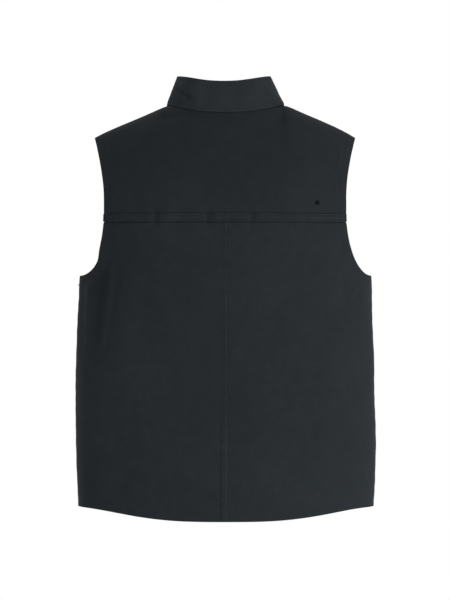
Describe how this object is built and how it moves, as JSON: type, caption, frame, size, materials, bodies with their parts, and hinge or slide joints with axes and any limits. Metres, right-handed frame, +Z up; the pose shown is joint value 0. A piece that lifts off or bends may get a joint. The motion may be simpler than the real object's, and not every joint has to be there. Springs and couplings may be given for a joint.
{
  "type": "canvas work vest",
  "caption": "Dark charcoal canvas work vest in worn form, with stand collar, back yoke, double-stitched felled seams, faced armholes, front zip and dropped back hem",
  "frame": {"origin": "the middle of the neck, level with the two points where the shoulder line meets the collar; the vest hangs from the shoulders around it", "axes": "+X to the wearer's right, +Y to the wearer's front, +Z up; the picture looks along +Y at the back"},
  "size_m": [0.5182, 0.2379, 0.7641],
  "materials": {
    "canvas": "matt charcoal cotton duck canvas, plain weave, washed",
    "canvas_band": "the same canvas folded and stitched flat, with raised edges",
    "zip": "black moulded plastic teeth on woven polyester tape",
    "dot": "matt near-black rubbery print, plain and unmarked"
  },
  "bodies": {
    "root": {"back_yoke": "canvas", "back_panel_left": "canvas", "back_panel_right": "canvas", "front_panel_left": "canvas", "front_panel_right": "canvas", "collar": "canvas", "yoke_fell": "canvas_band", "centre_back_fell": "canvas_band", "armhole_facing_left": "canvas_band", "armhole_facing_right": "canvas_band", "hem_facing": "canvas_band", "front_zip": "zip", "plain_dot": "dot"}
  },
  "joints": []
}
